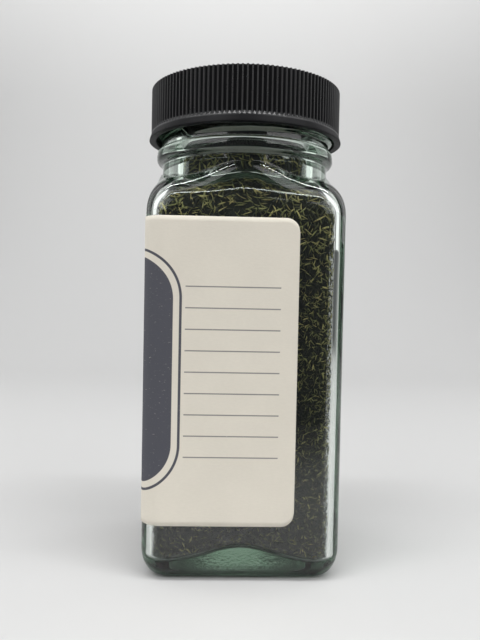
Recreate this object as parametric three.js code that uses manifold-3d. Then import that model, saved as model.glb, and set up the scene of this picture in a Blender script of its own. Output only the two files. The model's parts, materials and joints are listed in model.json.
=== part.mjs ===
// A square glass spice jar filled with dried dill weed, with a paper label and a ribbed screw cap.
// Millimetres, +Z up. The origin is the centre of the base, on the surface that the jar stands on.
// The label's open side faces +X, and its seam-free middle lies on the -X face.
import * as THREE from "three";
import { mergeVertices } from "three/addons/utils/BufferGeometryUtils.js";
import Module from "manifold-3d";

const wasm = await Module();
wasm.setup();

// Glass body
const BODY_HALF = 22; // half of the 44 mm square
const BODY_CORNER = 4.8; // radius of the upright corners
const WALL = 2; // glass thickness on the faces
const FOOT_HALF = 18; // half-width of the ring that the jar stands on
const FOOT_INNER_HALF = 15.5;
const HEEL_HEIGHT = 6.5; // height of the rounding between foot and face
const PUSH_UP = 1.4; // rise of the underside at its centre
const FLOOR_LOW = 3.6; // inner floor at the corners
const FLOOR_RIDGE = 3.3; // extra height of the floor along the two middle lines
const FLOOR_RIDGE_SPREAD = 9.5;
const FLOOR_FILLET = 1.6; // radius between the floor and the inner walls
const SHOULDER_LOW = 80.5; // height where the faces begin to lean in
const SHOULDER_HEIGHT = 8.5; // from there to the neck
const SHOULDER_THICKENING = 0.5; // how much lower the shoulder ends inside, for each length of inset

// Glass neck, ring and finish
const NECK_RADIUS = 19.9;
const FINISH_RADIUS = 20.2;
const RING_RADIUS = 21.35;
const RING_LOW = 93.8;
const RING_HIGH = 97;
const LIP_HEIGHT = 108.3;
const BORE_LOW_RADIUS = 15.2;
const BORE_TOP_RADIUS = 16.3;
const BORE_START = 93;

// Thread, one start, right-handed
const PITCH = 3.175; // 8 turns to the inch
const THREAD_BOTTOM = 98.9; // middle of the glass thread at its lower end
const THREAD_START_DEGREES = 228; // direction of both threads' lower ends, from +X
const GLASS_THREAD_TURNS = 1.25;
const GLASS_THREAD_RADIUS = 21.2;
const CAP_THREAD_TURNS = 1.1;
const CAP_THREAD_RADIUS = 20.65;
const GLASS_THREAD_WIDTHS = { root: 2.2, crest: 1.1 }; // along the axis
const CAP_THREAD_WIDTHS = { root: 1.5, crest: 0.7 };
const THREAD_SINK = 0.5; // how far a thread's root lies inside its wall
const THREAD_END_CREST = 0.1; // how far the faded ends stay inside the wall
const THREAD_STEPS_PER_TURN = 40;
const THREAD_RUNOUT_STEPS = 4; // steps over which each end fades into the wall

// Screw cap
const CAP_RADIUS = 22.8;
const CAP_RIM_RADIUS = 23.25; // the smooth band below the ribs flares out to its lower edge
const CAP_BORE = 21.65;
const CAP_BORE_ROUND = 0.8; // between the bore and the ceiling
const CAP_BOTTOM = 99.2;
const BAND_TOP = 100.9;
const RIB_RAMP = 0.35; // height over which each valley runs out into the band
const CAP_TOP = 111.5;
const CAP_TOP_WALL = 1.8;
const CAP_EDGE_ROUND = 0.6;
const RIB_COUNT = 132;
const RIB_DEPTH = 0.4;
const LINER_RADIUS = 20.9;
const LINER_THICKNESS = 0.8;
const GAP = 0.3; // air left between neighbouring pieces
const ROUND_SEGMENTS = 48; // sides of the bore and of the liner

// Paper label, from the -Y face round the -X face to the +Y face
const LABEL_GAP = 0.2;
const LABEL_THICKNESS = 0.35;
const LABEL_LOW = 12.4;
const LABEL_HIGH = 79.2;
const LABEL_END = 11.4; // how far along X both ends reach
const LABEL_ROUND = 4;
const LABEL_BEND_STEPS = 6; // sides of the paper round each upright corner

// Dried dill
const DILL_INSET = 1; // from the glass to the packed core
const DILL_TOP = 95.2;
const DILL_ROUGHNESS = 0.5;
const FLAKES_ON_SIDES = 260;
const FLAKES_ON_TOP = 20;
const FLAKE_LENGTH = [3.6, 7];
const FLAKE_WIDTH = 1;
const FLAKE_THICKNESS = 0.8;
const FLAKE_CLEARANCE = 0.3; // least distance from a flake to the glass

const GLASS_TINT = 0xcfe0d6;
const CAP_BLACK = 0x17171a;
const LINER_WHITE = 0xe6e3da;
const PAPER_CREAM = 0xd8d2c3;
const DILL_GREEN = 0x3f4a2c;

const TURN = 2 * Math.PI;
const GOLDEN_SHARE = 0.618034; // of a turn, which spreads repeats evenly

// Directions round the axis. They crowd at the four corners, where a square section bends.
const QUARTER_DEGREES = [0, 13, 26, 37.6, 42.6, 47.4, 52.4, 64, 77];
const DIRECTIONS = [0, 90, 180, 270].flatMap((start) =>
  QUARTER_DEGREES.map((d) => THREE.MathUtils.degToRad(start + d)),
);

// A small seeded generator of numbers from 0 to 1, so that the flakes fall the same way each time.
function seededRandom(seed) {
  let state = seed;
  return () => {
    state = (state + 0x6d2b79f5) | 0;
    let t = Math.imul(state ^ (state >>> 15), 1 | state);
    t = (t + Math.imul(t ^ (t >>> 7), 61 | t)) ^ t;
    return ((t ^ (t >>> 14)) >>> 0) / 4294967296;
  };
}

// Distance from the axis to a rounded square's edge, in one direction.
function squareRadius(angle, half, corner) {
  const a = Math.abs(Math.cos(angle));
  const b = Math.abs(Math.sin(angle));
  const long = Math.max(a, b);
  const short = Math.min(a, b);
  const straight = half - corner;
  if ((half / long) * short <= straight) return half / long;
  const along = straight * (a + b);
  return along + Math.sqrt(corner * corner - straight * straight * 2 + along * along);
}

// A ring of points at one height. radiusAt and heightAt take a direction.
function ring(radiusAt, heightAt) {
  return DIRECTIONS.map((angle) => {
    const r = typeof radiusAt === "number" ? radiusAt : radiusAt(angle);
    const x = r * Math.cos(angle);
    const y = r * Math.sin(angle);
    const z = typeof heightAt === "number" ? heightAt : heightAt(x, y);
    return [x, y, z];
  });
}

// A closed skin through a list of rings with the same number of points, with a fan on each end.
function loft(rings) {
  const count = rings[0].length;
  const ends = [rings[0], rings.at(-1)].map((points) =>
    [0, 1, 2].map((k) => points.reduce((sum, p) => sum + p[k], 0) / count),
  );
  const index = [];
  const low = rings.length * count;
  for (let j = 0; j < count; j++) {
    const next = (j + 1) % count;
    index.push(low, next, j);
    index.push(low + 1, low - count + j, low - count + next);
    for (let i = 0; i + 1 < rings.length; i++) {
      const a = i * count;
      const b = a + count;
      index.push(a + j, a + next, b + next, a + j, b + next, b + j);
    }
  }
  const geometry = new THREE.BufferGeometry();
  const flat = [...rings.flat(), ...ends].flat();
  geometry.setAttribute("position", new THREE.Float32BufferAttribute(flat, 3));
  geometry.setIndex(index);
  return geometry;
}

// A geometry as a solid that can be joined and cut, with its faces turned outwards.
// Triangles that collapse at a pole are dropped.
function toSolid(geometry) {
  const bare = geometry.clone();
  bare.deleteAttribute("normal");
  bare.deleteAttribute("uv");
  const merged = mergeVertices(bare, 1e-4);
  const from = merged.index.array;
  const kept = [];
  for (let i = 0; i < from.length; i += 3) {
    const [a, b, c] = [from[i], from[i + 1], from[i + 2]];
    if (a !== b && b !== c && c !== a) kept.push([a, b, c]);
  }
  const build = (triangles) =>
    new wasm.Manifold(
      new wasm.Mesh({
        numProp: 3,
        vertProperties: merged.attributes.position.array,
        triVerts: new Uint32Array(triangles.flat()),
      }),
    );
  const solid = build(kept);
  return solid.volume() < 0 ? build(kept.map(([a, b, c]) => [a, c, b])) : solid;
}

function toGeometry(solid) {
  const { numProp, vertProperties, triVerts } = solid.getMesh();
  const position = new THREE.BufferAttribute(vertProperties, numProp);
  return new THREE.BufferGeometry()
    .setAttribute("position", position)
    .setIndex(new THREE.BufferAttribute(triVerts, 1));
}

// The one biggest closed skin. Loose scraps and pockets sealed inside are left out.
function largestBody(solid) {
  return solid.decompose().reduce((a, b) => (b.volume() > a.volume() ? b : a));
}

function pieceMesh(name, geometry, color, roughness) {
  const material = new THREE.MeshStandardMaterial({ color, roughness, metalness: 0 });
  const mesh = new THREE.Mesh(geometry, material);
  mesh.name = name;
  return mesh;
}

// Height of the jar's inner floor: low at the corners, with a soft ridge along both middle lines.
function floorHeight(x, y) {
  const alongX = Math.exp(-((x / FLOOR_RIDGE_SPREAD) ** 2));
  const alongY = Math.exp(-((y / FLOOR_RIDGE_SPREAD) ** 2));
  return FLOOR_LOW + FLOOR_RIDGE * (alongX + alongY - alongX * alongY);
}

// The body's section at a height. Over the shoulder the square turns into the neck's circle,
// along a quarter of an ellipse.
function bodyRadius(z, inset) {
  const half = BODY_HALF - inset;
  const corner = Math.max(BODY_CORNER - 0.8 * inset, 1.2);
  const neck = inset ? BORE_LOW_RADIUS + WALL - inset : NECK_RADIUS;
  const full = SHOULDER_HEIGHT - SHOULDER_THICKENING * inset;
  const rise = THREE.MathUtils.clamp((z - SHOULDER_LOW) / full, 0, 1);
  const share = Math.sqrt(1 - rise * rise);
  return (angle) => THREE.MathUtils.lerp(neck, squareRadius(angle, half, corner), share);
}

function heelRings() {
  const steps = 5;
  const rings = [];
  for (let i = 0; i <= steps; i++) {
    const t = (i / steps) * (Math.PI / 2);
    const half = FOOT_HALF + (BODY_HALF - FOOT_HALF) * Math.sin(t);
    const corner = BODY_CORNER - 0.45 * (BODY_HALF - half);
    rings.push(ring((angle) => squareRadius(angle, half, corner), HEEL_HEIGHT * (1 - Math.cos(t))));
  }
  return rings;
}

function undersideRings() {
  const inner = FOOT_INNER_HALF;
  const shape = (half) => (angle) => squareRadius(angle, half, 0.35 * half);
  return [
    ring(shape(inner * 0.3), PUSH_UP),
    ring(shape(inner * 0.7), PUSH_UP * 0.8),
    ring(shape(inner * 0.92), PUSH_UP * 0.45),
    ring(shape(inner), 0),
  ];
}

const SHOULDER_HEIGHTS = [80.5, 82.9, 84.8, 86.35, 87.5, 88.35, 88.8, 88.97];
const CAVITY_HEIGHTS = [89, 87.95, 87.5, 86.7, 85.6, 84.2, 82.4, 80.5];

// Outer skin from the centre of the underside to the lip.
function outerRings() {
  const shoulder = SHOULDER_HEIGHTS.map((z) => ring(bodyRadius(z, 0), z));
  const upper = [
    [NECK_RADIUS, SHOULDER_LOW + SHOULDER_HEIGHT + 0.5],
    [NECK_RADIUS, RING_LOW - 0.6],
    [RING_RADIUS - 0.5, RING_LOW],
    [RING_RADIUS, RING_LOW + 0.7],
    [RING_RADIUS, RING_HIGH - 0.9],
    [RING_RADIUS - 0.45, RING_HIGH - 0.2],
    [FINISH_RADIUS, RING_HIGH + 0.1],
    [FINISH_RADIUS, LIP_HEIGHT - 0.8],
    [FINISH_RADIUS - 0.8, LIP_HEIGHT],
  ].map(([r, z]) => ring(r, z));
  return [...undersideRings(), ...heelRings(), ...shoulder, ...upper];
}

// Inner skin from the lip to the centre of the floor, for glass (inset 0) or for what fills it.
function boreRings(inset) {
  const mid = (BORE_LOW_RADIUS + BORE_TOP_RADIUS) / 2;
  return [
    [BORE_TOP_RADIUS + 0.8, LIP_HEIGHT],
    [BORE_TOP_RADIUS, LIP_HEIGHT - 0.9],
    [mid, (LIP_HEIGHT + BORE_START) / 2],
    [BORE_LOW_RADIUS, BORE_START + 0.6],
  ].map(([r, z]) => ring(r - inset, z));
}

function cavityRings(inset) {
  return CAVITY_HEIGHTS.map((z) => ring(bodyRadius(z, WALL + inset), z));
}

function floorRings(inset) {
  const half = BODY_HALF - WALL - inset;
  const corner = BODY_CORNER - 0.8 * (WALL + inset);
  const rings = [];
  const steps = 3;
  for (let i = 0; i <= steps; i++) {
    const t = (i / steps) * (Math.PI / 2);
    const h = half - FLOOR_FILLET * (1 - Math.cos(t));
    const rise = FLOOR_FILLET * (1 - Math.sin(t)) + inset;
    rings.push(ring((a) => squareRadius(a, h, corner), (x, y) => floorHeight(x, y) + rise));
  }
  for (const share of [0.62, 0.36, 0.14]) {
    rings.push(
      ring((a) => share * squareRadius(a, half, corner), (x, y) => floorHeight(x, y) + inset),
    );
  }
  return rings;
}

// A helical rib. wallRadius is where it grows from and crest is how far it reaches.
function threadSolid(wallRadius, crest, turns, startZ, widths) {
  const steps = Math.round(turns * THREAD_STEPS_PER_TURN);
  const outward = Math.sign(crest - wallRadius);
  const root = wallRadius - outward * THREAD_SINK;
  const endTip = wallRadius - outward * THREAD_END_CREST;
  const startAngle = THREE.MathUtils.degToRad(THREAD_START_DEGREES);
  const rings = [];
  for (let i = 0; i <= steps; i++) {
    const fade = Math.min(1, i / THREAD_RUNOUT_STEPS, (steps - i) / THREAD_RUNOUT_STEPS);
    const tip = THREE.MathUtils.lerp(endTip, crest, fade);
    const angle = startAngle + (i / THREAD_STEPS_PER_TURN) * TURN;
    const z = startZ + (i / THREAD_STEPS_PER_TURN) * PITCH;
    const profile = [
      [root, -widths.root / 2],
      [tip, -widths.crest / 2],
      [tip, widths.crest / 2],
      [root, widths.root / 2],
    ];
    rings.push(profile.map(([r, dz]) => [r * Math.cos(angle), r * Math.sin(angle), z + dz]));
  }
  return toSolid(loft(rings));
}

function glassJar() {
  const rings = [...outerRings(), ...boreRings(0), ...cavityRings(0), ...floorRings(0)];
  const body = toSolid(loft(rings));
  const thread = threadSolid(
    FINISH_RADIUS,
    GLASS_THREAD_RADIUS,
    GLASS_THREAD_TURNS,
    THREAD_BOTTOM,
    GLASS_THREAD_WIDTHS,
  );
  return toGeometry(body.add(thread));
}

// One outline of the cap's side: ribs stand out by depth from the valleys between them.
function ribbedRing(radius, depth, z) {
  return Array.from({ length: 2 * RIB_COUNT }, (unused, k) => {
    const r = k % 2 ? radius - depth : radius;
    const angle = (k / (2 * RIB_COUNT)) * TURN;
    return [r * Math.cos(angle), r * Math.sin(angle), z];
  });
}

function screwCap() {
  const ribTop = CAP_TOP - CAP_EDGE_ROUND;
  const outside = toSolid(
    loft([
      ribbedRing(CAP_RIM_RADIUS, 0, CAP_BOTTOM),
      ribbedRing(CAP_RADIUS, 0, BAND_TOP),
      ribbedRing(CAP_RADIUS, RIB_DEPTH, BAND_TOP + RIB_RAMP),
      ribbedRing(CAP_RADIUS, RIB_DEPTH, ribTop),
      ribbedRing(CAP_RADIUS - CAP_EDGE_ROUND, 0, CAP_TOP),
    ]),
  );
  const ceiling = CAP_TOP - CAP_TOP_WALL;
  const hollow = new THREE.LatheGeometry(
    [
      [0, CAP_BOTTOM - 1],
      [CAP_BORE, CAP_BOTTOM - 1],
      [CAP_BORE, ceiling - CAP_BORE_ROUND],
      [CAP_BORE - CAP_BORE_ROUND, ceiling],
      [0, ceiling],
    ].map(([r, z]) => new THREE.Vector2(r, z)),
    ROUND_SEGMENTS,
  ).rotateX(Math.PI / 2);
  const threadStart = THREAD_BOTTOM + PITCH / 2;
  const thread = threadSolid(
    CAP_BORE,
    CAP_THREAD_RADIUS,
    CAP_THREAD_TURNS,
    threadStart,
    CAP_THREAD_WIDTHS,
  );
  return toGeometry(outside.subtract(toSolid(hollow)).add(thread));
}

function capLiner() {
  const low = LIP_HEIGHT + GAP;
  const profile = [
    [0, low],
    [LINER_RADIUS, low],
    [LINER_RADIUS, low + LINER_THICKNESS],
    [0, low + LINER_THICKNESS],
  ];
  return new THREE.LatheGeometry(
    profile.map(([r, z]) => new THREE.Vector2(r, z)),
    ROUND_SEGMENTS,
  ).rotateX(Math.PI / 2);
}

// Stations along the label's path, seen from above: x, y and the outward direction.
function labelPath() {
  const stations = [];
  const face = BODY_HALF;
  const straight = BODY_HALF - BODY_CORNER;
  const flatStart = LABEL_END - LABEL_ROUND;
  for (const share of [0, 0.3, 0.6, 0.85, 1]) {
    const x = LABEL_END - LABEL_ROUND * share;
    stations.push({ x, y: -face, nx: 0, ny: -1, fromEnd: LABEL_END - x });
  }
  stations.push({ x: (flatStart - straight) / 2, y: -face, nx: 0, ny: -1, fromEnd: LABEL_ROUND });
  for (let i = 0; i <= LABEL_BEND_STEPS; i++) {
    const t = -Math.PI / 2 - (i / LABEL_BEND_STEPS) * (Math.PI / 2);
    const nx = Math.cos(t);
    const ny = Math.sin(t);
    const x = -straight + BODY_CORNER * nx;
    const y = -straight + BODY_CORNER * ny;
    stations.push({ x, y, nx, ny, fromEnd: LABEL_ROUND });
  }
  const mirrored = stations.map((s) => ({ ...s, y: -s.y, ny: -s.ny })).reverse();
  return [...stations, ...mirrored];
}

function paperLabel() {
  const rings = labelPath().map(({ x, y, nx, ny, fromEnd }) => {
    const inFrom = LABEL_ROUND - Math.min(fromEnd, LABEL_ROUND);
    const cut = LABEL_ROUND - Math.sqrt(Math.max(LABEL_ROUND ** 2 - inFrom ** 2, 0.01));
    const near = LABEL_GAP;
    const far = LABEL_GAP + LABEL_THICKNESS;
    return [
      [x + nx * far, y + ny * far, LABEL_LOW + cut],
      [x + nx * far, y + ny * far, LABEL_HIGH - cut],
      [x + nx * near, y + ny * near, LABEL_HIGH - cut],
      [x + nx * near, y + ny * near, LABEL_LOW + cut],
    ];
  });
  return toGeometry(toSolid(loft(rings)));
}

// Where the packed core ends in one direction at one height, above the floor's rounding.
function coreRadius(angle, z) {
  const neck = BORE_LOW_RADIUS - DILL_INSET;
  return z > CAVITY_HEIGHTS[0] ? neck : bodyRadius(z, WALL + DILL_INSET)(angle);
}

// The packed core of the dill: the cavity taken in all round, with a rough side and an uneven top.
function dillCore(random) {
  const rough = () => (random() - 0.5) * DILL_ROUGHNESS;
  const sideHeights = [...CAVITY_HEIGHTS, 69, 60, 51, 42, 33, 24, 15];
  const sides = sideHeights.map((z) => ring((angle) => coreRadius(angle, z) + rough(), z));
  const radius = BORE_LOW_RADIUS - DILL_INSET;
  const top = [0.25, 0.6, 0.9].map((share) => ring(radius * share, () => DILL_TOP + rough()));
  const neck = [ring(radius, DILL_TOP - 1), ring(radius, BORE_START)];
  return toSolid(loft([...top, ...neck, ...sides, ...floorRings(DILL_INSET)]));
}

// One flake: a slim three-sided needle, flat side in, ridge out, with one end sunk in the core.
function flake(centre, outward, along, length, reach) {
  const side = new THREE.Vector3().crossVectors(outward, along).normalize();
  const at = (a, o, s) =>
    centre.clone().addScaledVector(along, a).addScaledVector(outward, o).addScaledVector(side, s);
  const points = [
    at(-length / 2, -FLAKE_THICKNESS, 0),
    at(0, reach, 0),
    at(0, -FLAKE_THICKNESS / 2, -FLAKE_WIDTH / 2),
    at(0, -FLAKE_THICKNESS / 2, FLAKE_WIDTH / 2),
    at(length / 2, reach * 0.7, 0),
  ];
  const position = new THREE.Float32BufferAttribute(points.flatMap((p) => p.toArray()), 3);
  const geometry = new THREE.BufferGeometry().setAttribute("position", position);
  geometry.setIndex([0, 1, 2, 0, 2, 3, 0, 3, 1, 4, 2, 1, 4, 3, 2, 4, 1, 3]);
  return toSolid(geometry);
}

// True where a point keeps its clearance to the glass.
function clearOfGlass(point) {
  const angle = Math.atan2(point.y, point.x);
  return Math.hypot(point.x, point.y) < coreRadius(angle, point.z) + DILL_INSET - FLAKE_CLEARANCE;
}

function sideFlakes(random) {
  const made = [];
  const lowest = FLOOR_LOW + FLOOR_RIDGE + FLOOR_FILLET + 1;
  const highest = DILL_TOP - FLAKE_LENGTH[0] / 2;
  const point = (angle, z) => {
    const r = coreRadius(angle, z);
    return new THREE.Vector3(r * Math.cos(angle), r * Math.sin(angle), z);
  };
  for (let i = 0; i < FLAKES_ON_SIDES; i++) {
    const z = THREE.MathUtils.lerp(lowest, highest, (i + random()) / FLAKES_ON_SIDES);
    const angle = ((i * GOLDEN_SHARE + 0.02 * random()) % 1) * TURN;
    const centre = point(angle, z);
    const round = point(angle + 0.02, z).sub(point(angle - 0.02, z)).normalize();
    const rise = point(angle, z + 0.3).sub(point(angle, z - 0.3)).normalize();
    const outward = new THREE.Vector3().crossVectors(round, rise).normalize();
    const reach = DILL_INSET - FLAKE_CLEARANCE - 0.1 - 0.15 * random();
    for (let attempt = 0; attempt < 8; attempt++) {
      const turn = random() * TURN;
      const along = round.clone().multiplyScalar(Math.cos(turn)).addScaledVector(rise, Math.sin(turn));
      const length = THREE.MathUtils.lerp(...FLAKE_LENGTH, random());
      const tip = centre.clone().addScaledVector(along, length / 2).addScaledVector(outward, reach);
      if (!clearOfGlass(tip)) continue;
      made.push(flake(centre, outward, along.normalize(), length, reach));
      break;
    }
  }
  return made;
}

function topFlakes(random) {
  const made = [];
  const spread = BORE_LOW_RADIUS - DILL_INSET - FLAKE_LENGTH[1] / 2;
  for (let i = 0; i < FLAKES_ON_TOP; i++) {
    const r = spread * Math.sqrt((i + 0.5) / FLAKES_ON_TOP);
    const angle = i * GOLDEN_SHARE * TURN;
    const centre = new THREE.Vector3(r * Math.cos(angle), r * Math.sin(angle), DILL_TOP);
    const turn = random() * TURN;
    const along = new THREE.Vector3(Math.cos(turn), Math.sin(turn), 0.2 * random()).normalize();
    const length = THREE.MathUtils.lerp(...FLAKE_LENGTH, random());
    made.push(flake(centre, new THREE.Vector3(0, 0, 1), along, length, 0.9));
  }
  return made;
}

function dillWeed() {
  const random = seededRandom(20);
  const parts = [dillCore(random), ...sideFlakes(random), ...topFlakes(random)];
  const heap = toGeometry(wasm.Manifold.union(parts));
  return toGeometry(largestBody(toSolid(heap)));
}

const jar = new THREE.Group();
jar.add(pieceMesh("glass_jar", glassJar(), GLASS_TINT, 0.05));
jar.add(pieceMesh("paper_label", paperLabel(), PAPER_CREAM, 0.85));
jar.add(pieceMesh("dill_weed", dillWeed(), DILL_GREEN, 0.9));

const closure = new THREE.Group();
closure.add(pieceMesh("screw_cap", screwCap(), CAP_BLACK, 0.45));
closure.add(pieceMesh("cap_liner", capLiner(), LINER_WHITE, 0.7));

const group = new THREE.Group();
group.add(jar, closure);

export default group;
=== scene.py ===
"""A square glass spice jar of dried dill weed, with a paper label and a ribbed black screw cap.

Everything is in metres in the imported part's frame: +Z up, the centre of the base at the origin.
"""

import json
import math

import bmesh
import bpy
import numpy as np
from mathutils import Matrix, Vector, noise

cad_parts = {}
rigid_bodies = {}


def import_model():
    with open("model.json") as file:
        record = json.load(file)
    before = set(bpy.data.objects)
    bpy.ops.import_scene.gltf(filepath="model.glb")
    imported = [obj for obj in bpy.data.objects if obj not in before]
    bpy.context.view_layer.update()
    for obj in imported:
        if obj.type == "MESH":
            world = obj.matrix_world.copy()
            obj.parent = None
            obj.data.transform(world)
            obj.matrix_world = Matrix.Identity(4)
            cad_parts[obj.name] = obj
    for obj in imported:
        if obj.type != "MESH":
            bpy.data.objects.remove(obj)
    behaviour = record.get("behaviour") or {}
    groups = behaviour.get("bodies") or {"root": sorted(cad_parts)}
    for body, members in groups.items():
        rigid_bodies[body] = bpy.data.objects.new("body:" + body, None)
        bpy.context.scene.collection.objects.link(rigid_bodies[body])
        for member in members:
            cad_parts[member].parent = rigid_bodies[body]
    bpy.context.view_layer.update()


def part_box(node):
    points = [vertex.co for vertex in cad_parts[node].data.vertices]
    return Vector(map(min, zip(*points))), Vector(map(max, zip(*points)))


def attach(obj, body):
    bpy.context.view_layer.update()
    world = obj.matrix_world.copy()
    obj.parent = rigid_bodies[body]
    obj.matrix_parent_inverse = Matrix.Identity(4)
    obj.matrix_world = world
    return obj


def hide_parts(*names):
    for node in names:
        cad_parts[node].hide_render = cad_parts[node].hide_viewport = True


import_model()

bl_info = {
    "name": "Spice Jar of Dried Dill",
    "version": (1, 0, 0),
    "blender": (4, 5, 0),
    "location": "View3D > Sidebar > Spice Jar",
    "description": "Builds a filled glass spice jar, its label, its screw cap and a plain stage",
    "category": "Add Mesh",
}

MM = 0.001
TURN = 2 * math.pi

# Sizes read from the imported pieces
JAR_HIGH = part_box("glass_jar")[1]
CAP_LOW, CAP_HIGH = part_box("screw_cap")
LABEL_BOX_LOW, LABEL_BOX_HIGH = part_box("paper_label")
LINER_LOW, LINER_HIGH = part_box("cap_liner")
BODY_HALF = JAR_HIGH.x
LIP_HEIGHT = JAR_HIGH.z
CAP_RIM_RADIUS = CAP_HIGH.x

# Glass body
BODY_CORNER = 4.8 * MM
WALL = 2 * MM
CORNER_SHRINK = 0.8  # how fast the upright corners sharpen inwards, per length of inset
LEAST_CORNER = 1.2 * MM
FOOT_HALF = 18 * MM
FOOT_INNER_HALF = 15.5 * MM
HEEL_HEIGHT = 6.5 * MM
PUSH_UP = 1.4 * MM
FLOOR_LOW = 3.6 * MM
FLOOR_RIDGE = 3.3 * MM
FLOOR_RIDGE_SPREAD = 9.5 * MM
FLOOR_FILLET = 1.6 * MM
SHOULDER_LOW = 80.5 * MM  # where the faces begin to lean in
SHOULDER_HEIGHT = 8.5 * MM
SHOULDER_THICKENING = 0.5  # how much lower the shoulder ends inside, per length of inset
ARCH_OUTSIDE = 2.6 * MM  # how much higher the shoulder ends over the middle of each face
ARCH_INSIDE = 1.5 * MM

# Glass neck, ring and finish
NECK_RADIUS = 19.9 * MM
FINISH_RADIUS = 20.2 * MM
RING_RADIUS = 21.35 * MM
RING_LOW = 93.8 * MM
RING_HIGH = 97 * MM
BORE_LOW_RADIUS = 15.2 * MM
BORE_TOP_RADIUS = 16.3 * MM
BORE_START = 93 * MM

# Screw cap
CAP_RADIUS = 22.8 * MM
CAP_BORE = 21.65 * MM
CAP_TOP_WALL = 1.8 * MM
CAP_EDGE_ROUND = 0.6 * MM
BAND_TOP = 100.9 * MM
RIB_RUNOUT = 0.9 * MM

# Screw threads: lower end, turns, height of the ridge and its width along the axis
PITCH = 3.175 * MM
THREAD_START = math.radians(228)
THREAD_FADE_TURNS = 0.08
GLASS_THREAD = (98.9 * MM, 1.25, 1 * MM, 2.3 * MM)
CAP_THREAD = (98.9 * MM + PITCH / 2, 1.1, 1 * MM, 1.5 * MM)

# Label
LABEL_END = 11.4 * MM
LABEL_ROUND = 3 * MM
LABEL_OFF_GLASS = 0.05 * MM

# Plain print on the label, from the middle of its front
PANEL_HALF_WIDTH = 26.6 * MM
PANEL_HALF_HEIGHT = 24.6 * MM
PANEL_CORNER = 9 * MM
FRAME_AWAY = 1.6 * MM  # from the panel's edge to the middle of the thin rule round it
FRAME_CORNER = 10.4 * MM
FRAME_HALF_THICK = 0.28 * MM
LINE_SPACING = 4.6 * MM
LINE_HALF_THICK = 0.13 * MM
LINES_MIDDLE = 39.4 * MM
LINES_HALF_LENGTH = 10.2 * MM
LINES_REACH = 21 * MM  # above and below the middle

# Dill: heights between which it grows coarser, and what is left between flakes and glass
DILL_TOP = 95.2 * MM
FINE_BELOW = 56 * MM
COARSE_ABOVE = 84 * MM
CORE_OFF_GLASS = 1.1 * MM
FLAKES_OFF_GLASS = 0.25 * MM
FLAKE_CLEARANCE = 0.06 * MM


def colour_setting(name, description, default):
    return bpy.props.FloatVectorProperty(
        name=name, description=description, default=default, subtype="COLOR", size=3, min=0, max=1,
    )


def length_setting(name, description, default):
    return bpy.props.FloatProperty(
        name=name, description=description, default=default, unit="LENGTH",
    )


class JarSettings(bpy.types.PropertyGroup):
    """Sizes and colours of the glass."""

    tint: colour_setting("Tint", "Colour that thick glass takes on", (0.45, 0.62, 0.50))
    tint_density: bpy.props.FloatProperty(
        name="Tint density", description="How fast the tint deepens, per metre of glass",
        default=66, min=0,
    )
    waviness: length_setting("Waviness", "Unevenness of the inner wall", 0.07 * MM)


class LabelSettings(bpy.types.PropertyGroup):
    """Sizes and colours of the paper label."""

    paper: colour_setting("Paper", "Colour of the bare paper", (0.82, 0.77, 0.67))
    ink: colour_setting("Ink", "Colour of the printed rules and panel", (0.045, 0.05, 0.075))
    thickness: length_setting("Thickness", "Thickness of the paper", 0.14 * MM)


class DillSettings(bpy.types.PropertyGroup):
    """Amounts, sizes and colours of the dried dill."""

    leaf_density: bpy.props.FloatProperty(
        name="Leaf density", description="Leaf flakes for each square metre of glass",
        default=1.35e6, min=0,
    )
    stem_density: bpy.props.FloatProperty(
        name="Stem density", description="Pale stem pieces for each square metre of glass",
        default=0.12e6, min=0,
    )
    flake_length: length_setting("Flake length", "Length of a leaf flake near the top", 3.0 * MM)
    seed: bpy.props.IntProperty(name="Seed", description="Seed of the random fall", default=7)
    dark_leaf: colour_setting("Dark leaf", "Colour of the darkest flakes", (0.004, 0.005, 0.0025))
    green_leaf: colour_setting("Green leaf", "Colour of the middle flakes", (0.019, 0.0225, 0.0075))
    pale_leaf: colour_setting("Pale leaf", "Colour of the palest flakes", (0.27, 0.26, 0.095))
    stem: colour_setting("Stem", "Colour of the stem pieces", (0.46, 0.38, 0.15))


class CapSettings(bpy.types.PropertyGroup):
    """Sizes and colour of the screw cap."""

    rib_count: bpy.props.IntProperty(
        name="Ribs", description="Upright ribs round the cap", default=132, min=12,
    )
    rib_depth: length_setting("Rib depth", "Depth of the grooves between the ribs", 0.52 * MM)
    plastic: colour_setting("Plastic", "Colour of the moulded plastic", (0.006, 0.006, 0.007))


class StageSettings(bpy.types.PropertyGroup):
    """Floor, backdrop and light."""

    floor: colour_setting("Floor", "Colour of the floor and backdrop", (0.69, 0.69, 0.685))
    light: bpy.props.FloatProperty(
        name="Light", description="Strength of all the lights together", default=1.0, min=0,
    )


def operation(kind, reflected=False):
    """An operator of the expressions below, made of one Math node."""
    def apply(self, other):
        return self._math(kind, other, self) if reflected else self._math(kind, self, other)

    return apply


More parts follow.
